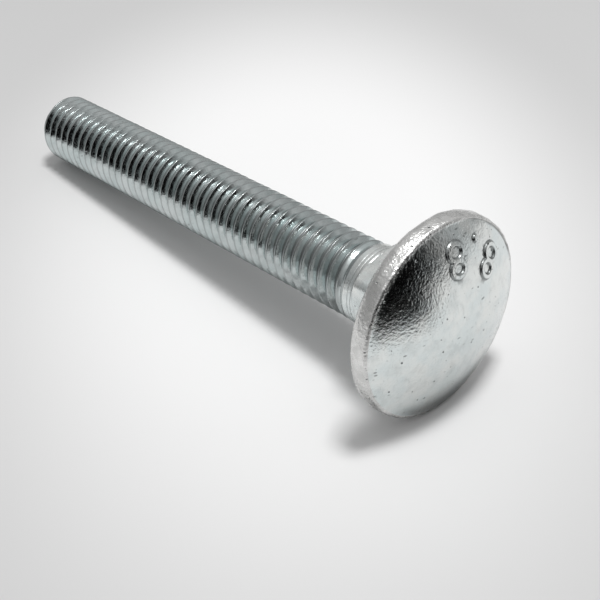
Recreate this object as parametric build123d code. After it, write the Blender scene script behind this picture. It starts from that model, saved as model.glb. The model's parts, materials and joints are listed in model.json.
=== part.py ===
from build123d import *

import math
import os

# A zinc plated carriage bolt, M8 x 60: a domed head, a square neck under it, and a shank that is
# threaded all the way to the neck. It is one forged and rolled piece of steel, so it is one solid.
# Millimetres, +Z up. The bolt lies on Z = 0 as it comes to rest, on the rim of its head and the
# end of its thread, with its axis in the XZ plane and its head towards +X. The origin is under
# the middle of its box. The fine thread isn't cut here: the shank is its outer cylinder.

# Shank and thread.
THREAD_D = 8.0          # outer diameter of the M8 thread
BOLT_LENGTH = 60.0      # from the bearing face under the head to the tip
TIP_CHAMFER = 0.8       # 45 degree chamfer at the tip

# Square neck.
NECK_OVER_THREAD = 0.1  # how far each flat lies outside the thread
NECK_LENGTH = 5.0
NECK_CORNER_R = 1.0     # rounding of the four corners
NECK_BEVEL = 0.8        # length over which the corners slope down towards the shank
NECK_STEP = 0.35        # how far the sloped corners still stand past the flats at the neck's end
NECK_TURN = -10.0       # degrees that the square is turned about the axis, as the bolt lies

# Head.
HEAD_D = 20.0
HEAD_HEIGHT = 4.5       # from the bearing face to the top of the dome
RIM_HEIGHT = 2.2        # band round the edge of the head, below the dome
RIM_UNDER_INSET = 0.7   # how far the bearing face stops short of the widest part of the rim
RIM_TOP_INSET = 0.45    # how far the dome starts inside the widest part of the rim
CREASE_R = 0.4          # rounding where the rim turns into the dome
UNDER_EDGE_R = 0.25     # rounding between the bearing face and the rim

# Sizes that follow from those above.
thread_r = THREAD_D / 2
half_flats = thread_r + NECK_OVER_THREAD
head_r = HEAD_D / 2
under_r = head_r - RIM_UNDER_INSET
crease_r = head_r - RIM_TOP_INSET


def rim_arc():
    """Bulging outline of the rim, as points (distance from the axis, height)."""
    return ThreePointArc((under_r, 0), (head_r, -RIM_HEIGHT / 2), (crease_r, -RIM_HEIGHT))


def dome_arc():
    """Outline of the dome from the rim to its top, part of a circle centred on the axis."""
    rise = HEAD_HEIGHT - RIM_HEIGHT
    radius = (crease_r**2 + rise**2) / (2 * rise)
    half_angle = math.asin(crease_r / radius) / 2
    middle = (radius * math.sin(half_angle), radius * (1 - math.cos(half_angle)) - HEAD_HEIGHT)
    return ThreePointArc((crease_r, -RIM_HEIGHT), middle, (0, -HEAD_HEIGHT))


def round_ring(solid, ring_r, rounding):
    """Round the circular edge of the given radius."""
    rings = solid.edges().filter_by(GeomType.CIRCLE)
    return fillet(rings.filter_by(lambda ring: abs(ring.radius - ring_r) < 1e-3), rounding)


def head():
    """Domed head about the Z axis, with its bearing face at Z = 0 and its dome below."""
    middle_line = Line((0, -HEAD_HEIGHT), (0, 0))
    face_line = Line((0, 0), (under_r, 0))
    outline = make_face([middle_line, face_line, rim_arc(), dome_arc()])
    turned = revolve(Plane.XZ * outline, Axis.Z)
    creased = round_ring(turned, crease_r, CREASE_R)
    return round_ring(creased, under_r, UNDER_EDGE_R)


def neck():
    """Square neck above the bearing face, its corners rounded and sloped off at the end."""
    square = Rectangle(2 * half_flats, 2 * half_flats)
    square = fillet(square.vertices(), NECK_CORNER_R)
    prism = extrude(square, NECK_LENGTH)
    half_diagonal = half_flats * math.sqrt(2)
    end_r = half_flats + NECK_STEP
    slope_from = NECK_LENGTH - NECK_BEVEL
    low = (Align.CENTER, Align.CENTER, Align.MIN)
    straight = Cylinder(half_diagonal, slope_from, align=low)
    slope = Pos(0, 0, slope_from) * Cone(half_diagonal, end_r, NECK_BEVEL, align=low)
    return prism & (straight + slope)


def shank():
    """Outer cylinder of the thread, from the bearing face to the chamfered tip."""
    low = (Align.CENTER, Align.CENTER, Align.MIN)
    bar = Cylinder(thread_r, BOLT_LENGTH, align=low)
    tip_edge = bar.edges().filter_by(GeomType.CIRCLE).sort_by(Axis.Z)[-1]
    return chamfer(tip_edge, TIP_CHAMFER)


def upright_bolt():
    """Whole bolt about the Z axis, bearing face at Z = 0, tip up."""
    return head() + Rot(0, 0, NECK_TURN) * neck() + shank()


def resting_tilt():
    """Degrees that the axis slopes down to the tip when the rim and the thread end touch down."""
    rim = rim_arc()
    along = BOLT_LENGTH - TIP_CHAMFER - rim.arc_center.Y
    across = rim.arc_center.X - thread_r
    to_centre = math.atan2(across, along)
    centre_to_touch = math.asin(rim.radius / math.hypot(across, along))
    return math.degrees(to_centre + centre_to_touch)


def resting_place():
    """Location that lays the upright bolt on Z = 0 over the origin, head towards +X."""
    turned = Rot(0, -90 - resting_tilt(), 0)
    box = (turned * upright_bolt()).bounding_box()
    return Pos(-box.center().X, -box.center().Y, -box.min.Z) * turned


if __name__ == "__main__":
    os.makedirs("parts", exist_ok=True)
    carriage_bolt = resting_place() * upright_bolt()
    export_step(carriage_bolt, "parts/carriage_bolt.step")
    print(f"axis slopes {resting_tilt():.3f} degrees, volume {carriage_bolt.volume:.1f} mm3")
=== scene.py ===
import json
import math

import bpy
from mathutils import Matrix, Vector, noise


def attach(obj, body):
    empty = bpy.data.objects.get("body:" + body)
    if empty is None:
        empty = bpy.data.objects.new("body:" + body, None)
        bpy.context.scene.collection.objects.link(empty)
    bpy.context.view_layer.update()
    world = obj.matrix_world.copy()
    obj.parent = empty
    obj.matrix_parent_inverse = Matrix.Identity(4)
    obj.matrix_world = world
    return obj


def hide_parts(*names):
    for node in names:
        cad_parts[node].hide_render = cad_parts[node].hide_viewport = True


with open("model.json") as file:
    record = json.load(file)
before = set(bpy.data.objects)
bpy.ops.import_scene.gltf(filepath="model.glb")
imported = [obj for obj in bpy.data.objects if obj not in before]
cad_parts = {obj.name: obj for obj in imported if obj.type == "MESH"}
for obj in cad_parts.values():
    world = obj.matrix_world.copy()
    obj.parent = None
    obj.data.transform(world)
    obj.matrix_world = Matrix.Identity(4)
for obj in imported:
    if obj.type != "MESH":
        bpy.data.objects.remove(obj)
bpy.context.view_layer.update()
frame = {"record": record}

# A zinc plated carriage bolt, M8 x 60, lying on its side: a domed head with a rolled rim, a square
# neck, and a shank with a rolled thread up to the neck. The whole bolt is one closed mesh, made of
# rings and one helical band about the bolt's axis, because the real one is one piece of steel.
# The bolt's own sizes are in millimetres along and about its axis: height 0 is the bearing face
# under the head, heights grow towards the tip, and angle 0 points up from the floor as it lies.

MM = 0.001


# ---------------------------------------------------------------- sizes of the bolt

BOLT_LENGTH = 60.0
PITCH = 1.25
CREST_R = 3.965          # rolled crests stay a little under the thread's full size
ROOT_R = 3.29
FLANK_SLOPE = math.sqrt(3)         # the flanks meet at 60 degrees
CREST_LAND = PITCH / 18            # half the width of a crest before it is rounded
CREST_ROUND = 0.04       # how softly a crest turns into its flanks
ROOT_ROUND = 0.06        # how softly the flanks turn into the root
CREST_WEAR = 0.05        # how far the crests are knocked down in places
THREAD_UNEVEN = 0.008    # height of the slow waves along the thread
THREAD_FROM = 5.25 * PITCH         # where the thread has run out into the collar
RUN_OUT = 1.5            # length over which the last turn fades
TIP_R = 3.2
TIP_ROUND = 0.06         # rounding between the thread and the tip's chamfer
TIP_HOLLOW = 0.25        # shallow cup that rolling leaves in the end face
TIP_RINGS = ((3.1, 0.01), (2.9, 0.05), (2.4, 0.12), (1.6, 0.19), (0.7, 0.24))   # radius and depth
THREAD_START = 0.18      # height of a crest at angle 0, as a share of the pitch

COLLAR_R = 4.02          # plain round collar between the thread and the square
GROOVES = ((5.55, 0.035, 0.07), (5.95, 0.03, 0.06))    # height, depth and half width on the collar
NECK_LENGTH = 5.0
HALF_FLATS = 4.1
NECK_CORNER_R = 1.0
NECK_BEVEL = 0.8         # length over which the corners slope off
NECK_STEP = 0.35         # how far the sloped corners still stand past the flats
NECK_TURN = math.radians(-10.0)
NECK_FILLET = 0.22
CORNER_SOFTNESS = 0.12   # how softly the corners turn into their slopes

HEAD_R = 10.0
HEAD_HEIGHT = 4.5
RIM_HEIGHT = 2.2
UNDER_R = 9.3            # where the bearing face ends
CREASE_R = 9.55          # where the dome ends
RIM_TURN_R = 0.42        # rounding from the dome into the wall of the rim
RIM_INWARD = 0.03        # the dents lie this far inside the rim's full size on average
INNER_FACE_R = 7.2       # ring that divides the bearing face
DOME_UNEVEN = 0.012      # height of the dome's slow waves

MARK_AT = math.radians(24.8)        # direction of the middle of the class mark
MARK_SPREAD = math.radians(20.7)    # from there to the middle of each numeral
MARK_HALF_SECTOR = math.radians(33.0)   # half the sector of the dome that is finely divided
MARK_HEIGHT = 0.18                  # how far the numerals stand out of the dome
STROKE = 0.23                       # half the width of a stroke
STROKE_EDGE = 0.06                  # half the width of a stroke's sloping edge
MARK_INNER, MARK_OUTER = 4.85, 8.45 # the finely divided rings of the dome lie between these
BIG_LOOP = (7.28, 0.72, 0.86)       # distance from the middle of the dome, half height, half width
SMALL_LOOP = (5.86, 0.70, 0.80)
DOT_R = 0.3
DOT_AT = 8.04
FOOT_WIDTH = 0.15                   # width of the painted shade, a darker and duller line, round the foot of each stroke
FOLD_DEPTH = 0.12                   # fold between the dome and the rim
NICKS = ((17, -1.85, 0.12), (4, -1.35, 0.09), (-38, -1.6, 0.1))   # degrees, height and depth

NECK_COLUMNS = 192
SHANK_COLUMNS = 96
DOME_MIDDLE_RINGS = 9
MARK_RINGS = 62
COLLAR_RINGS = 30
FILLET_RINGS = 4
BEVEL_RINGS = 10
HAIR = 0.03              # the least distance between two rings at a sharp step
STEP = PITCH / SHANK_COLUMNS        # one column of the band climbs by this much
STATIONS = (0, 4, 6, 9, 33, 37, 48, 59, 63, 87, 90, 92)   # rows of the band in one pitch, in steps

THREAD, NECK, HEAD, RIM = range(4)  # parts of the bolt, which are also its material slots


# ---------------------------------------------------------------- the bolt's own frame

def bolt_frame():
    """Where the bolt's own millimetres lie in the model: its bearing face, up and tip directions."""
    mounts = {mount["name"]: mount for mount in frame["record"]["mounts"]}
    shank_at = Vector(mounts["shank"]["pos_m"])
    face_at = Vector(mounts["bearing_face"]["pos_m"])
    tipwards = Vector(mounts["shank"]["axis"]).normalized()
    origin = shank_at + tipwards * (face_at - shank_at).dot(tipwards)
    side = Vector((0, 1, 0))
    up = side.cross(tipwards)
    turn = Matrix((up, side, tipwards)).transposed()
    return Matrix.Translation(origin) @ turn.to_4x4() @ Matrix.Scale(MM, 4)


BOLT_TO_MODEL = bolt_frame()


# ---------------------------------------------------------------- small helpers

def smoothstep(low, high, value):
    share = min(max((value - low) / (high - low), 0.0), 1.0)
    return share * share * (3 - 2 * share)


def soft_min(a, b, softness):
    overlap = max(softness - abs(a - b), 0.0) / softness
    return min(a, b) - overlap * overlap * softness / 4


def soft_max(a, b, softness):
    return -soft_min(-a, -b, softness)


def unevenness(angle, height, scale, seed):
    """Smooth noise from about -1 to 1 on the bolt's surface, the same at angle 0 and a full turn."""
    place = Vector((4 * math.cos(angle), 4 * math.sin(angle), height)) * scale
    return noise.noise(place + Vector((seed, -seed, 2 * seed)))


# ---------------------------------------------------------------- the mesh, ring by ring

points = []      # in the bolt's own millimetres
faces = []       # corner numbers and part of the bolt
shade_and_dullness = {}        # how much painted shade darkens a point and how much duller it is, from 0 to 1


def add_point(angle, radius, height):
    points.append((radius * math.cos(angle), radius * math.sin(angle), height))
    return len(points) - 1


def add_ring(angles, radius, height):
    """One ring; radius is a number, or a function of the angle."""
    at = radius if callable(radius) else lambda angle: radius
    return [add_point(angle, at(angle), height) for angle in angles]


def join(ring, next_ring, part):
    """Faces between two rings with the same angles, in order from the dome to the tip."""
    for i in range(len(ring)):
        j = (i + 1) % len(ring)
        faces.append(((ring[i], ring[j], next_ring[j], next_ring[i]), part))


def zip_rings(ring, angles, next_ring, next_angles, part):
    """Triangles between two rings whose angles differ."""
    here, there = 0, 0
    while here < len(ring) or there < len(next_ring):
        next_here = angles[here + 1] if here + 1 < len(ring) else 2 * math.pi
        next_there = next_angles[there + 1] if there + 1 < len(next_ring) else 2 * math.pi
        a = ring[here % len(ring)]
        b = next_ring[there % len(next_ring)]
        if there >= len(next_ring) or (here < len(ring) and next_here <= next_there):
            faces.append(((a, ring[(here + 1) % len(ring)], b), part))
            here += 1
        else:
            faces.append(((a, next_ring[(there + 1) % len(next_ring)], b), part))
            there += 1


def cap(ring, height, part, towards_tip):
    """Close a ring with a point on the axis."""
    middle = add_point(0, 0, height)
    for i in range(len(ring)):
        j = (i + 1) % len(ring)
        corners = (ring[i], ring[j], middle) if towards_tip else (middle, ring[j], ring[i])
        faces.append((corners, part))


def arc(centre, radius, start, end, count):
    """Points of an arc in a lengthwise section, as (distance from the axis, height)."""
    turns = [start + (end - start) * i / count for i in range(count + 1)]
    return [(centre[0] + radius * math.cos(t), centre[1] + radius * math.sin(t)) for t in turns]


# ---------------------------------------------------------------- head

def head_angles():
    """Angles of the head's columns from 0 to a full turn, closer together in the mark's sector."""
    fine, coarse = math.radians(0.5), math.radians(1.5)
    low = MARK_AT - MARK_HALF_SECTOR
    high = MARK_AT + MARK_HALF_SECTOR
    rest = 2 * math.pi - high + low
    fine_count = round((high - low) / fine)
    coarse_count = round(rest / coarse)
    angles = [low + (high - low) * i / fine_count for i in range(fine_count)]
    angles += [high + rest * i / coarse_count for i in range(coarse_count)]
    return sorted(angle % (2 * math.pi) for angle in angles)


def loop_gap(along, across, loop):
    """Distance from a point to the line of an oval loop of a numeral."""
    middle, half_height, half_width = loop
    stretch = math.hypot((along - middle) / half_height, across / half_width)
    if stretch < 1e-6:
        return min(half_height, half_width)
    return abs(stretch - 1) * math.hypot(along - middle, across) / stretch


def mark_gap(angle, distance):
    """Distance from there to the strokes of the class mark, the numerals 8.8."""
    gap = math.hypot(distance - DOT_AT, distance * (angle - MARK_AT)) - DOT_R + STROKE
    for turn in (-MARK_SPREAD, MARK_SPREAD):
        along = distance * math.cos(angle - MARK_AT - turn)
        across = distance * math.sin(angle - MARK_AT - turn)
        for loop in (BIG_LOOP, SMALL_LOOP):
            gap = min(gap, loop_gap(along, across, loop))
    return gap


DOME_RISE = HEAD_HEIGHT - RIM_HEIGHT
DOME_R = (CREASE_R**2 + DOME_RISE**2) / (2 * DOME_RISE)
DOME_EDGE = math.asin(CREASE_R / DOME_R)


def dome_ring(angles, slope):
    """A ring of the dome where its surface leans by that slope from square to the axis."""
    ring = []
    for angle in angles:
        distance = DOME_R * math.sin(slope)
        gap = mark_gap(angle, distance)
        out = MARK_HEIGHT * (1 - smoothstep(STROKE - STROKE_EDGE, STROKE + STROKE_EDGE, gap))
        out += DOME_UNEVEN * unevenness(angle, distance, 0.35, 3.0)
        radius = (DOME_R + out) * math.sin(slope)
        height = DOME_R - HEAD_HEIGHT - (DOME_R + out) * math.cos(slope)
        point = add_point(angle, radius, height)
        ring.append(point)
        # painted shade round the foot of each raised stroke
        foot = 1 - smoothstep(0.4, 1.0, abs(gap - STROKE - STROKE_EDGE / 2) / FOOT_WIDTH)
        if foot > 0:
            shade_and_dullness[point] = foot
    return ring


def dome_slopes():
    """Slopes of the dome's rings from the middle outwards, closer together under the mark."""
    low = math.asin(MARK_INNER / DOME_R)
    high = math.asin(MARK_OUTER / DOME_R)
    last = DOME_EDGE - 0.2 / DOME_R
    slopes = [DOME_EDGE * 0.05 * i for i in range(1, DOME_MIDDLE_RINGS + 1)]
    slopes += [low + (high - low) * i / MARK_RINGS for i in range(MARK_RINGS + 1)]
    slopes += [high + (last - high) * i / 4 for i in range(1, 5)]
    return slopes


def rim_outline():
    """Section of the rim from the dome's crease to the bearing face: a turn off the dome, a nearly
    straight wall, and a rounder side underneath."""
    wall_r = HEAD_R - 0.08
    centre = (wall_r - RIM_TURN_R, -RIM_HEIGHT + RIM_TURN_R * math.cos(DOME_EDGE) - 0.02)
    turn = arc(centre, RIM_TURN_R, DOME_EDGE - math.pi / 2 + 0.12, -0.12, 6)
    wall = [(HEAD_R - 0.025, -1.4), (HEAD_R, -1.1), (HEAD_R - 0.03, -0.8), (HEAD_R - 0.13, -0.5)]
    under = [(UNDER_R + 0.36, -0.28), (UNDER_R + 0.14, -0.12), (UNDER_R - 0.04, -0.03),
             (UNDER_R - 0.24, 0)]
    return turn + wall + under


def rim_dents(angle, height):
    """How far the forged rim stands out or in there, as if lightly hammered."""
    out = 0.06 * unevenness(angle, height, 1.3, 9.0) + 0.045 * unevenness(angle, height, 3.2, 13.0)
    out -= RIM_INWARD
    for nick_angle, nick_height, depth in NICKS:
        turn = (angle - math.radians(nick_angle) + math.pi) % (2 * math.pi) - math.pi
        off = math.hypot(HEAD_R * turn / 0.35, (height - nick_height) / 0.2)
        out -= depth * math.exp(-off * off)
    return out


def crease_fold(angle):
    """How deep the thin fold between the dome and the rim is there, from 0 to about 1; it also sets how
    much painted shade the fold gets.
    """
    turn = math.degrees((angle + math.pi) % (2 * math.pi) - math.pi)
    stretch = smoothstep(8, 25, turn) * smoothstep(85, 65, turn)
    return stretch * (0.7 + 0.6 * unevenness(angle, 0, 1.5, 17.0))


def build_head():
    """The head; returns its innermost ring on the bearing face and that ring's angles."""
    angles = head_angles()
    ring = None
    for slope in dome_slopes():
        next_ring = dome_ring(angles, slope)
        if ring is None:
            cap(next_ring, -HEAD_HEIGHT, HEAD, towards_tip=False)
        else:
            join(ring, next_ring, HEAD)
        ring = next_ring
    next_ring = []
    for angle in angles:
        fold = crease_fold(angle)
        next_ring.append(add_point(angle, CREASE_R, FOLD_DEPTH * fold - RIM_HEIGHT - 0.04))
        # painted shade in the fold, as deep as the fold
        shade_and_dullness[next_ring[-1]] = min(fold, 1.0)
    join(ring, next_ring, HEAD)
    ring = next_ring
    for radius, height in rim_outline():
        next_ring = add_ring(angles, lambda angle: radius + rim_dents(angle, height), height)
        join(ring, next_ring, RIM)
        ring = next_ring
    next_ring = add_ring(angles, INNER_FACE_R, 0.0)
    join(ring, next_ring, RIM)
    return next_ring, angles


# ---------------------------------------------------------------- square neck and collar

def square_radius(angle, half_flats=HALF_FLATS, corner_r=NECK_CORNER_R):
    """Distance from the axis to the outline of the square with rounded corners."""
    lean = (angle - NECK_TURN + math.pi / 4) % (math.pi / 2) - math.pi / 4
    flat_end = math.atan2(half_flats - corner_r, half_flats)
    if abs(lean) <= flat_end:
        return half_flats / math.cos(lean)
    to_corner = (half_flats - corner_r) * math.sqrt(2)
    off = math.pi / 4 - abs(lean)
    return to_corner * math.cos(off) + math.sqrt(corner_r**2 - (to_corner * math.sin(off))**2)


def neck_radius(angle, height):
    """The square, with its corners sloped off towards the collar."""
    half_diagonal = HALF_FLATS * math.sqrt(2)
    end_r = HALF_FLATS + NECK_STEP
    share = min(max((height - NECK_LENGTH + NECK_BEVEL) / NECK_BEVEL, 0.0), 1.0)
    slope_r = half_diagonal + (end_r - half_diagonal) * share
    return soft_min(square_radius(angle), slope_r, CORNER_SOFTNESS)


def groove_share(angle, height, groove_at, half_width):
    """How much of a groove's depth it has there, from 0 to 1."""
    wander = 0.03 * unevenness(angle, groove_at, 0.3, 5.0)
    return 1 - smoothstep(0.2, 1.0, abs(height - groove_at - wander) / half_width)


def collar_radius(angle, height):
    """The round collar, with the fine grooves that the die leaves in it."""
    radius = COLLAR_R - 0.06 * smoothstep(NECK_LENGTH + 0.25, NECK_LENGTH + 0.05, height)
    for groove_at, depth, half_width in GROOVES:
        radius -= depth * groove_share(angle, height, groove_at, half_width)
    return radius


def collar_shade_mask(angle, height):
    """Painted shade in the grooves and in the corner next to the square, which are also duller."""
    corner = 1 - smoothstep(0.04, 0.14, height - NECK_LENGTH)
    grooves = [groove_share(angle, height, place, half_width) for place, depth, half_width in GROOVES]
    return max(corner, *grooves)


def build_neck(face_ring, face_angles, angles, shank_angles):
    """The bearing face, the neck and the collar; returns the ring where the thread starts."""
    ring = None
    for i in range(FILLET_RINGS + 1):
        turn = math.pi / 2 * (1 - i / FILLET_RINGS)
        out = NECK_FILLET * (1 - math.cos(turn))
        height = NECK_FILLET * (1 - math.sin(turn))
        next_ring = add_ring(angles, lambda angle: neck_radius(angle, 0) + out, height)
        # painted shade in the fillet between the bearing face and the square
        for point in next_ring:
            shade_and_dullness[point] = 0.8
        if ring is None:
            zip_rings(face_ring, face_angles, next_ring, angles, RIM)
        else:
            join(ring, next_ring, NECK)
        ring = next_ring
    heights = [0.6, 1.2, 1.8, 2.4, 3.0, 3.6, 4.0]
    heights += [NECK_LENGTH - NECK_BEVEL * (1 - i / BEVEL_RINGS) for i in range(BEVEL_RINGS)]
    heights += [NECK_LENGTH - HAIR]
    for height in heights:
        next_ring = add_ring(angles, lambda angle: neck_radius(angle, height), height)
        join(ring, next_ring, NECK)
        ring = next_ring
    # the end of the square, a narrow step down to the collar
    next_ring = add_ring(angles, lambda angle: neck_radius(angle, NECK_LENGTH) - 0.05, NECK_LENGTH)
    join(ring, next_ring, NECK)
    ring = next_ring
    collar_from = NECK_LENGTH + HAIR
    for i in range(COLLAR_RINGS + 1):
        height = collar_from + (THREAD_FROM - collar_from) * i / COLLAR_RINGS
        next_ring = add_ring(shank_angles, lambda angle: collar_radius(angle, height), height)
        # painted shade in the collar's grooves and in its corner by the square
        for point, angle in zip(next_ring, shank_angles):
            shade_and_dullness[point] = 0.8 * collar_shade_mask(angle, height)
        if i == 0:
            zip_rings(ring, angles, next_ring, shank_angles, NECK)
        else:
            join(ring, next_ring, NECK)
        ring = next_ring
    return ring


# ---------------------------------------------------------------- thread and tip

def thread_radius(angle, height, off_crest):
    """Rolled thread, where off_crest is the distance along the axis from the nearest crest."""
    flank = CREST_R - (off_crest - CREST_LAND) * FLANK_SLOPE
    wear = CREST_WEAR * max(unevenness(angle, height, 2.2, 11.0), 0.0)
    radius = soft_min(CREST_R - wear, soft_max(ROOT_R, flank, ROOT_ROUND), CREST_ROUND)
    radius += THREAD_UNEVEN * unevenness(angle, height, 1.1, 7.0)
    faded = smoothstep(THREAD_FROM, THREAD_FROM + RUN_OUT, height)
    radius = COLLAR_R + (radius - COLLAR_R) * faded
    return soft_min(radius, TIP_R + BOLT_LENGTH - height, TIP_ROUND)


def build_shank(first_ring, angles):
    """The helical band from the collar to the tip; returns the ring round the end face."""
    columns = SHANK_COLUMNS
    low = round(THREAD_FROM / STEP)
    high = round(BOLT_LENGTH / STEP)
    start = round(THREAD_START * columns)
    made = {(column, low): first_ring[column] for column in range(columns)}

    def corner(row, column):
        turn, station = divmod(row, len(STATIONS))
        climb = turn * columns + STATIONS[station] + column + start
        climb = min(max(climb, low), high)
        column %= columns
        if (column, climb) not in made:
            phase = (climb - column - start) % columns
            off_crest = min(phase, columns - phase) * STEP
            height = climb * STEP
            radius = thread_radius(angles[column], height, off_crest)
            made[column, climb] = add_point(angles[column], radius, height)
        return made[column, climb]

    first_row = (low // columns - 2) * len(STATIONS)
    last_row = (high // columns + 2) * len(STATIONS)
    for row in range(first_row, last_row):
        for column in range(columns):
            around = (corner(row, column), corner(row, column + 1),
                      corner(row + 1, column + 1), corner(row + 1, column))
            corners = tuple(dict.fromkeys(around))
            if len(corners) > 2:
                faces.append((corners, THREAD))
    return [made[column, high] for column in range(columns)]


def build_tip(ring, angles):
    """The slightly hollow end face."""
    for radius, depth in TIP_RINGS:
        next_ring = add_ring(angles, radius, BOLT_LENGTH - depth)
        join(ring, next_ring, THREAD)
        ring = next_ring
    cap(ring, BOLT_LENGTH - TIP_HOLLOW, THREAD, towards_tip=True)


def even_shading(mesh):
    """Shade the thread and the neck by their larger faces, so that the flanks between the small
    rounded edges look flat."""
    normals = [vertex.normal.copy() for vertex in mesh.vertices]
    sums = {}
    for polygon in mesh.polygons:
        if polygon.material_index in (THREAD, NECK):
            push = polygon.normal * polygon.area
            for corner in polygon.vertices:
                sums[corner] = sums.get(corner, Vector()) + push
    for corner, total in sums.items():
        normals[corner] = total.normalized()
    mesh.normals_split_custom_set_from_vertices(normals)


def build_bolt():
    """Put the parts together and return the finished object."""
    shank_angles = [2 * math.pi * i / SHANK_COLUMNS for i in range(SHANK_COLUMNS)]
    neck_angles = [2 * math.pi * i / NECK_COLUMNS for i in range(NECK_COLUMNS)]
    face_ring, face_angles = build_head()
    collar_ring = build_neck(face_ring, face_angles, neck_angles, shank_angles)
    end_ring = build_shank(collar_ring, shank_angles)
    build_tip(end_ring, shank_angles)

    mesh = bpy.data.meshes.new("carriage_bolt_body")
    placed = [BOLT_TO_MODEL @ Vector(place) for place in points]
    mesh.from_pydata(placed, [], [corners for corners, part in faces])
    mesh.polygons.foreach_set("material_index", [part for corners, part in faces])
    mesh.polygons.foreach_set("use_smooth", [True] * len(faces))
    mesh.validate()
    mesh.update()
    even_shading(mesh)
    # the painted shade of corners, folds, grooves and stroke feet, kept on the mesh for the materials
    shade_attribute = mesh.attributes.new("shade_and_dullness", "FLOAT", "POINT")
    for point, amount in shade_and_dullness.items():
        shade_attribute.data[point].value = amount
    bolt = bpy.data.objects.new("bolt_threaded", mesh)
    bpy.context.scene.collection.objects.link(bolt)
    return bolt


# ---------------------------------------------------------------- node helpers

class Nodes:
    """Short ways to place and link the nodes of one tree."""

    def __init__(self, tree):
        self.tree = tree

    def add(self, kind, inputs=(), **settings):
        node = self.tree.nodes.new(kind)
        for name, value in settings.items():
            setattr(node, name, value)
        for key, value in dict(inputs).items():
            socket = node.inputs[key]
            if isinstance(value, bpy.types.NodeSocket):
                self.tree.links.new(value, socket)
            else:
                socket.default_value = value
        return node

    def math(self, operation, a, b=0.0, clamp=False):
        node = self.add("ShaderNodeMath", {0: a, 1: b}, operation=operation, use_clamp=clamp)
        return node.outputs[0]

    def fade(self, value, low, high, to_low=0.0, to_high=1.0):
        """The value mapped smoothly from one range to another."""
        inputs = {"Value": value, "From Min": low, "From Max": high, "To Min": to_low, "To Max": to_high}
        node = self.add("ShaderNodeMapRange", inputs, interpolation_type="SMOOTHSTEP")
        return node.outputs[0]

    def noise(self, vector, scale, detail=2.0, roughness=0.5, stretch=None):
        if stretch is not None:
            vector = self.add("ShaderNodeVectorMath", {0: vector, 1: stretch},
                              operation="MULTIPLY").outputs[0]
        inputs = {"Vector": vector, "Scale": scale, "Detail": detail, "Roughness": roughness}
        return self.add("ShaderNodeTexNoise", inputs).outputs[0]

    def choose(self, factor, a, b):
        """A number between a and b: a at factor 0 and b at factor 1."""
        return self.add("ShaderNodeMix", {0: factor, 2: a, 3: b}, data_type="FLOAT").outputs[0]

    def without(self, value, share):
        """The value less that share of itself."""
        return self.math("MULTIPLY", value, self.math("SUBTRACT", 1.0, share))

    def mix(self, factor, a, b):
        """A colour between a and b."""
        node = self.add("ShaderNodeMix", data_type="RGBA")
        for key, value in ((0, factor), (6, a), (7, b)):
            if isinstance(value, bpy.types.NodeSocket):
                self.tree.links.new(value, node.inputs[key])
            else:
                node.inputs[key].default_value = value
        return node.outputs[2]


def new_group(name, inputs, outputs):
    """A shader node group with named sockets; returns its tree, helper, input and output nodes."""
    tree = bpy.data.node_groups.new(name, "ShaderNodeTree")
    for label, kind, value in inputs:
        socket = tree.interface.new_socket(label, in_out="INPUT", socket_type=kind)
        socket.default_value = value
    for label, kind in outputs:
        tree.interface.new_socket(label, in_out="OUTPUT", socket_type=kind)
    nodes = Nodes(tree)
    return tree, nodes, tree.nodes.new("NodeGroupInput"), tree.nodes.new("NodeGroupOutput")


NUMBER, COLOUR, VECTOR = "NodeSocketFloat", "NodeSocketColor", "NodeSocketVector"


# ---------------------------------------------------------------- zinc plating

def bolt_place_group():
    """Where a point of the surface lies on the bolt, in its own millimetres."""
    tree, nodes, given, made = new_group("bolt place", [], [("Place", VECTOR), ("From Axis", NUMBER)])
    own = nodes.add("ShaderNodeMapping", {
        "Vector": nodes.add("ShaderNodeTexCoord").outputs["Object"],
        "Location": BOLT_TO_MODEL.to_translation(), "Rotation": BOLT_TO_MODEL.to_euler(),
        "Scale": (MM, MM, MM)}, vector_type="TEXTURE").outputs[0]
    across = nodes.add("ShaderNodeVectorMath", {0: own, 1: (1, 1, 0)}, operation="MULTIPLY").outputs[0]
    length = nodes.add("ShaderNodeVectorMath", {0: across}, operation="LENGTH").outputs["Value"]
    tree.links.new(own, made.inputs["Place"])
    tree.links.new(length, made.inputs["From Axis"])
    return tree


BOLT_PLACE = bolt_place_group()


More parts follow.
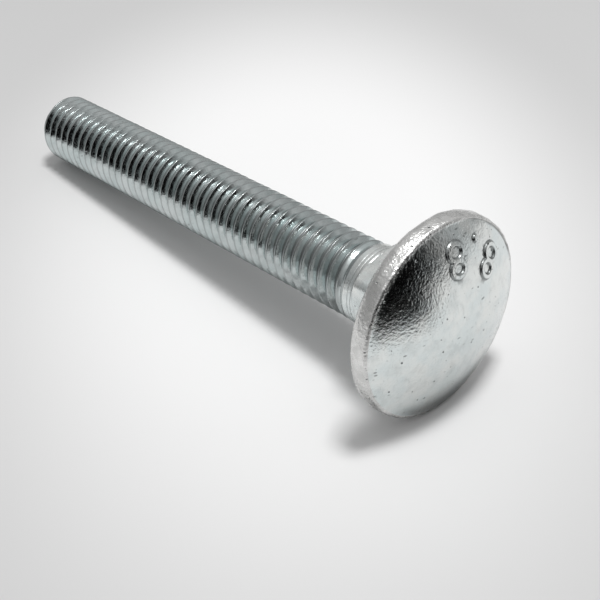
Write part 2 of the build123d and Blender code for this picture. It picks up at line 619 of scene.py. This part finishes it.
def zinc_group():
    """Bright zinc plating on steel: its cloudy tint, wrinkled skin, fine grain, pits and scuffs."""
    inputs = [
        ("Colour", COLOUR, (0.7, 0.72, 0.72, 1)),
        ("Blue Colour", COLOUR, (0.6, 0.68, 0.7, 1)),
        ("Dark Colour", COLOUR, (0.2, 0.22, 0.22, 1)),
        ("Pits", NUMBER, 0.5),
        ("Scuffs", NUMBER, 0.5),
        ("Grain", NUMBER, 0.5),
        ("Roughness", NUMBER, 0.25),
    ]
    outputs = [("Colour", COLOUR), ("Roughness", NUMBER), ("Height", NUMBER)]
    tree, nodes, given, made = new_group("zinc plating", inputs, outputs)
    own = nodes.add("ShaderNodeGroup", node_tree=BOLT_PLACE).outputs["Place"]

    def spots(scale, stretch, low, high, patch_scale):
        """Small round or stretched spots, their size uneven from patch to patch."""
        place = nodes.add("ShaderNodeVectorMath", {0: own, 1: stretch}, operation="MULTIPLY").outputs[0]
        cells = nodes.add("ShaderNodeTexVoronoi", {"Vector": place, "Scale": scale, "Randomness": 1.0})
        size = nodes.fade(nodes.noise(own, patch_scale, 1.0), 0.4, 0.65, low, high)
        spot = nodes.math("SUBTRACT", 1.0, nodes.math("DIVIDE", cells.outputs["Distance"], size))
        return nodes.math("MULTIPLY", spot, 2.5, clamp=True)

    clouds = nodes.noise(own, 0.35, 3.0, 0.6)
    streaks = nodes.noise(own, 1.4, 3.0, 0.6)
    stains = nodes.noise(own, 0.8, 3.0, 0.65)
    colour = nodes.mix(nodes.fade(clouds, 0.35, 0.65), given.outputs["Colour"],
                       given.outputs["Blue Colour"])
    stain = nodes.math("MULTIPLY", nodes.fade(stains, 0.45, 0.7), 0.14)
    colour = nodes.mix(stain, colour, given.outputs["Dark Colour"])

    # small dark pits, scattered unevenly
    pit = nodes.math("MULTIPLY", spots(1.05, (1, 1, 1), 0.07, 0.15, 0.5), given.outputs["Pits"],
                     clamp=True)
    colour = nodes.mix(pit, colour, given.outputs["Dark Colour"])

    # short scuffs across the plating
    dashes = spots(1.6, (1.0, 0.35, 1.0), 0.02, 0.2, 0.3)
    worn = nodes.fade(nodes.noise(own, 3.0, 4.0, 0.7, stretch=(0.35, 1.6, 1.0)), 0.58, 0.74)
    scuff = nodes.math("MULTIPLY", nodes.math("ADD", nodes.math("MULTIPLY", worn, 0.4), dashes),
                       given.outputs["Scuffs"], clamp=True)
    colour = nodes.mix(nodes.math("MULTIPLY", scuff, 0.8), colour, given.outputs["Dark Colour"])

    # painted shade in corners, folds, grooves and round the strokes' feet, which are also duller
    shade_and_dullness_here = nodes.add("ShaderNodeAttribute", attribute_name="shade_and_dullness").outputs["Fac"]
    colour = nodes.mix(nodes.math("MULTIPLY", shade_and_dullness_here, 0.8), colour, given.outputs["Dark Colour"])

    grain = nodes.noise(own, 11.0, 2.0, 0.6)
    wrinkle = nodes.noise(own, 4.2, 2.0, 0.5)
    peel = nodes.noise(own, 1.9, 2.0, 0.5)
    roughness = nodes.math("ADD", given.outputs["Roughness"], nodes.fade(streaks, 0.3, 0.7, -0.05, 0.07))
    roughness = nodes.math("ADD", roughness, nodes.math("MULTIPLY", scuff, 0.15))
    roughness = nodes.math("ADD", roughness, nodes.math("MULTIPLY", shade_and_dullness_here, 0.2), clamp=True)
    fine = nodes.math("ADD", nodes.math("MULTIPLY", wrinkle, 1.4), nodes.math("MULTIPLY", grain, 0.4))
    height = nodes.math("MULTIPLY", nodes.math("ADD", peel, fine), given.outputs["Grain"])
    height = nodes.math("SUBTRACT", height, nodes.math("MULTIPLY", pit, 1.6))

    tree.links.new(colour, made.inputs["Colour"])
    tree.links.new(roughness, made.inputs["Roughness"])
    tree.links.new(height, made.inputs["Height"])
    return tree


ZINC = zinc_group()


def thread_shade_and_wear(nodes, colour, roughness):
    """The roots of the thread are dull and get painted shade, and its crests are rubbed."""
    from_axis = nodes.add("ShaderNodeGroup", node_tree=BOLT_PLACE).outputs["From Axis"]
    # painted shade down in the roots of the thread
    root = nodes.fade(from_axis, ROOT_R + 0.02, ROOT_R + 0.16, 1.0, 0.0)
    crest = nodes.fade(from_axis, CREST_R - 0.1, CREST_R - 0.03)
    colour = nodes.mix(nodes.math("MULTIPLY", root, 0.95), colour, ZINC_DARK)
    colour = nodes.mix(nodes.math("MULTIPLY", crest, 0.45), colour, ZINC_DARK)
    worn = nodes.math("ADD", nodes.math("MULTIPLY", root, 0.2), nodes.math("MULTIPLY", crest, 0.06))
    return colour, nodes.math("ADD", roughness, worn)


def zinc_material(name, relief, extra=None, **values):
    """Zinc plated steel; relief is how deep the group's height goes, in metres."""
    material = bpy.data.materials.new(name)
    material.use_nodes = True
    nodes = Nodes(material.node_tree)
    shader = material.node_tree.nodes["Principled BSDF"]
    shader.inputs["Metallic"].default_value = 1.0
    finish = nodes.add("ShaderNodeGroup", node_tree=ZINC)
    for label, value in values.items():
        finish.inputs[label.replace("_", " ")].default_value = value
    colour, roughness = finish.outputs["Colour"], finish.outputs["Roughness"]
    if extra is not None:
        colour, roughness = extra(nodes, colour, roughness)
    bump = nodes.add("ShaderNodeBump", {"Height": finish.outputs["Height"], "Strength": 1.0,
                                        "Distance": relief})
    links = material.node_tree.links
    links.new(colour, shader.inputs["Base Color"])
    links.new(roughness, shader.inputs["Roughness"])
    links.new(bump.outputs["Normal"], shader.inputs["Normal"])
    return material


ZINC_LIGHT = (0.78, 0.80, 0.785, 1)
ZINC_BLUE = (0.70, 0.75, 0.75, 1)
ZINC_GREY = (0.60, 0.64, 0.64, 1)
ZINC_GREEN = (0.54, 0.60, 0.60, 1)
ZINC_WARM = (0.77, 0.77, 0.76, 1)
ZINC_WARM_GREY = (0.64, 0.64, 0.63, 1)
ZINC_DARK = (0.16, 0.17, 0.17, 1)

thread_zinc = zinc_material(
    "zinc on the thread", 0.012 * MM, thread_shade_and_wear, Colour=ZINC_GREY, Blue_Colour=ZINC_GREEN,
    Dark_Colour=ZINC_DARK, Pits=0.2, Scuffs=0.5, Grain=0.5, Roughness=0.15)
neck_zinc = zinc_material(
    "zinc on the neck", 0.02 * MM, Colour=ZINC_LIGHT, Blue_Colour=ZINC_BLUE,
    Dark_Colour=ZINC_DARK, Pits=0.3, Scuffs=0.8, Grain=0.9, Roughness=0.25)
head_zinc = zinc_material(
    "zinc on the head", 0.02 * MM, Colour=ZINC_LIGHT, Blue_Colour=ZINC_BLUE,
    Dark_Colour=ZINC_DARK, Pits=0.95, Scuffs=0.85, Grain=1.0, Roughness=0.09)
rim_zinc = zinc_material(
    "zinc on the rim", 0.04 * MM, Colour=ZINC_WARM, Blue_Colour=ZINC_WARM_GREY,
    Dark_Colour=ZINC_DARK, Pits=0.9, Scuffs=1.0, Grain=1.0, Roughness=0.27)

bolt = build_bolt()
for material in (thread_zinc, neck_zinc, head_zinc, rim_zinc):
    bolt.data.materials.append(material)
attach(bolt, "root")
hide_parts("carriage_bolt")


# ---------------------------------------------------------------- floor

FLOOR_HALF = 1.5
# the floor's pool of light is painted into its colour
POOL_AT = (-0.0015, 0.012, 0.0)
POOL_TURN = math.radians(139)
POOL_HALF_LENGTH = 0.075
POOL_HALF_WIDTH = 0.046
POOL_INNER = 0.3         # share of the pool's size over which it keeps its full tone
POOL_TONE = 0.92
EDGE_TONE = 0.62
MIRRORED_TONE = 0.84     # tone of the floor in the bright metal
HEAD_FOOT = (0.029, 0.0, 0.0)
FOOT_SHADE = 0.5         # how much painted shade darkens the mirrored floor at the head's foot
FOOT_REACH = 0.007       # how far from there the shade has faded to about a third


def build_floor():
    """A wide pale floor with a soft painted pool of light round the bolt, darker towards its edges."""
    half = FLOOR_HALF
    corners = [(-half, -half, 0), (half, -half, 0), (half, half, 0), (-half, half, 0)]
    mesh = bpy.data.meshes.new("floor")
    mesh.from_pydata(corners, [], [(0, 1, 2, 3)])
    floor = bpy.data.objects.new("floor", mesh)
    bpy.context.scene.collection.objects.link(floor)

    material = bpy.data.materials.new("pale floor")
    material.use_nodes = True
    nodes = Nodes(material.node_tree)
    shader = material.node_tree.nodes["Principled BSDF"]
    shader.inputs["Roughness"].default_value = 0.9
    shader.inputs["Specular IOR Level"].default_value = 0.1
    place = nodes.add("ShaderNodeTexCoord").outputs["Object"]

    # a painted pool of light: an oval with its own place, direction and size on the floor, lighter
    # inside and darker towards its edge
    in_pool = nodes.add("ShaderNodeMapping", {
        "Vector": place, "Location": POOL_AT, "Rotation": (0, 0, POOL_TURN),
        "Scale": (POOL_HALF_LENGTH, POOL_HALF_WIDTH, 1)}, vector_type="TEXTURE").outputs[0]
    off = nodes.add("ShaderNodeVectorMath", {0: in_pool}, operation="LENGTH").outputs["Value"]
    tone = nodes.fade(off, POOL_INNER, 1.0, POOL_TONE, EDGE_TONE)

    # the bright metal mirrors an even floor with a painted shade at the head's foot and a painted dark
    # that fades in past the head
    parts = nodes.add("ShaderNodeSeparateXYZ", {0: place})
    past_head = nodes.math("SUBTRACT", parts.outputs["X"], 0.03)
    azimuth = nodes.math("ARCTAN2", past_head, parts.outputs["Y"])
    painted_dark_far_side = nodes.math("MULTIPLY", nodes.fade(past_head, 0.024, 0.064),
                          nodes.fade(azimuth, math.radians(60), math.radians(76)))
    foot = nodes.add("ShaderNodeVectorMath", {0: place, 1: HEAD_FOOT}, operation="DISTANCE")
    fading = nodes.math("EXPONENT", nodes.math("DIVIDE", foot.outputs["Value"], -FOOT_REACH))
    painted_foot_shade = nodes.math("MULTIPLY", FOOT_SHADE, fading)
    painted_mirrored_tone = nodes.without(nodes.math("SUBTRACT", MIRRORED_TONE, painted_foot_shade), painted_dark_far_side)
    mirrored = nodes.add("ShaderNodeLightPath").outputs["Is Glossy Ray"]
    tone = nodes.choose(mirrored, tone, painted_mirrored_tone)
    colour = nodes.add("ShaderNodeCombineColor", {0: tone, 1: tone, 2: tone}).outputs[0]
    material.node_tree.links.new(colour, shader.inputs["Base Color"])
    mesh.materials.append(material)


build_floor()


# ---------------------------------------------------------------- studio

def build_world():
    """Soft grey studio, bright overhead, with a dark side and a dimmer side for the metal to mirror."""
    world = bpy.data.worlds.new("studio")
    bpy.context.scene.world = world
    world.use_nodes = True
    tree = world.node_tree
    nodes = Nodes(tree)
    background = tree.nodes["Background"]
    direction = nodes.add("ShaderNodeTexCoord").outputs["Generated"]
    parts = nodes.add("ShaderNodeSeparateXYZ", {0: direction})
    azimuth = nodes.math("ARCTAN2", parts.outputs["X"], parts.outputs["Y"])
    elevation = nodes.math("ARCSINE", parts.outputs["Z"])

    def between(value, low, high, softness):
        low, high, softness = (math.radians(x) for x in (low, high, softness))
        rise = nodes.fade(value, low - softness, low + softness)
        fall = nodes.fade(value, high - softness, high + softness, 1.0, 0.0)
        return nodes.math("MULTIPLY", rise, fall)

    def between_both(azimuths, elevations):
        return nodes.math("MULTIPLY", between(azimuth, *azimuths), between(elevation, *elevations))

    dark = nodes.math("MULTIPLY", nodes.fade(azimuth, math.radians(42), math.radians(70)),
                      between_both((0, 150, 5), (-30, 36, 4)))
    left_of_head = nodes.math("ARCTAN2", nodes.math("MULTIPLY", parts.outputs["X"], -1.0),
                              nodes.math("MULTIPLY", parts.outputs["Y"], -1.0))
    dim = nodes.math("MULTIPLY", between(left_of_head, -5, 90, 12), between(elevation, -10, 50, 8))
    overhead = nodes.fade(elevation, math.radians(55), math.radians(75))
    mirrored = nodes.fade(elevation, math.radians(8), math.radians(28), 0.43, 0.61)
    mirrored = nodes.without(mirrored, nodes.math("MULTIPLY", dim, 0.35))
    rays = nodes.add("ShaderNodeLightPath")
    side = nodes.choose(rays.outputs["Is Glossy Ray"], 0.42, mirrored)
    side = nodes.math("ADD", side, nodes.math("MULTIPLY", overhead, 0.4))
    strength = nodes.without(side, nodes.math("MULTIPLY", dark, 0.995))
    strength = nodes.choose(rays.outputs["Is Camera Ray"], strength, 0.75)
    tree.links.new(strength, background.inputs["Strength"])
    background.inputs["Color"].default_value = (1, 1, 1, 1)


def build_softbox():
    """The main light, almost straight above the bolt."""
    azimuth, elevation, distance = math.radians(59), math.radians(83.5), 0.4
    light = bpy.data.lights.new("softbox", "AREA")
    light.shape = "SQUARE"
    light.size = 0.085
    light.energy = 0.95
    softbox = bpy.data.objects.new("softbox", light)
    towards = Vector((math.sin(azimuth) * math.cos(elevation), math.cos(azimuth) * math.cos(elevation),
                      math.sin(elevation)))
    softbox.location = towards * distance
    softbox.rotation_euler = towards.to_track_quat("Z", "Y").to_euler()
    bpy.context.scene.collection.objects.link(softbox)


build_world()
build_softbox()


# ---------------------------------------------------------------- camera

LOOK_AZIMUTH = math.radians(-47.47)
LOOK_DOWN = math.radians(38.44)
LOOK_AT = Vector((10.47, 0.53, 0.67)) * MM
LOOK_FROM_DISTANCE = 117.9 * MM


def build_camera():
    camera = bpy.data.objects.new("camera", bpy.data.cameras.new("camera"))
    camera.data.lens = 67.3
    camera.data.clip_start = 0.005
    look = Vector((math.sin(LOOK_AZIMUTH) * math.cos(LOOK_DOWN),
                   math.cos(LOOK_AZIMUTH) * math.cos(LOOK_DOWN), -math.sin(LOOK_DOWN)))
    camera.location = LOOK_AT - look * LOOK_FROM_DISTANCE
    camera.rotation_euler = look.to_track_quat("-Z", "Y").to_euler()
    bpy.context.scene.collection.objects.link(camera)
    bpy.context.scene.camera = camera


build_camera()
bpy.context.scene.view_settings.view_transform = "Standard"
